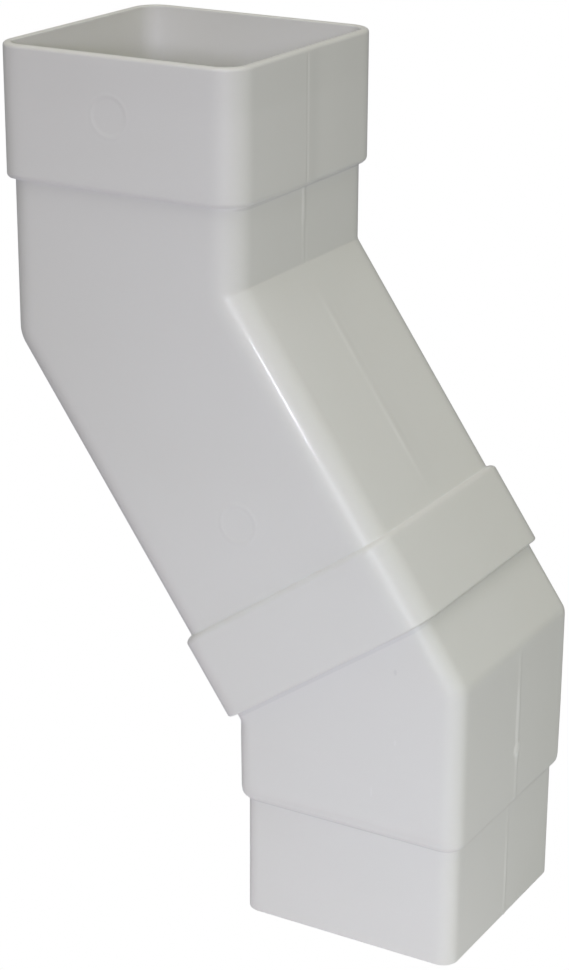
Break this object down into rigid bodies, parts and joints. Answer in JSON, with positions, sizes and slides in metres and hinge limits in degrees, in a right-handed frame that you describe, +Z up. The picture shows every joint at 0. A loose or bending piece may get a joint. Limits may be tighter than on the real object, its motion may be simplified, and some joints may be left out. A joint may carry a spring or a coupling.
{
  "type": "offset downspout elbow",
  "caption": "Square offset elbow for a rainwater downpipe: a socketed upper bend with a long inclined leg, and a lower bend with a spigot pushed into its collar.",
  "frame": {"origin": "centre of the spigot's open end, on the lower vertical axis", "axes": "+Z up, along both vertical axes and against the water's flow; the upper axis stands 64.1 mm towards -X, so the offset lies in the XZ plane; +Y across the offset, towards the far side in the picture"},
  "size_m": [0.1311, 0.07, 0.2212],
  "materials": {
    "upvc": "glossy injection-moulded pale grey-white plastic"
  },
  "bodies": {
    "root": {"upper_elbow": "upvc", "lower_elbow": "upvc"}
  },
  "joints": []
}
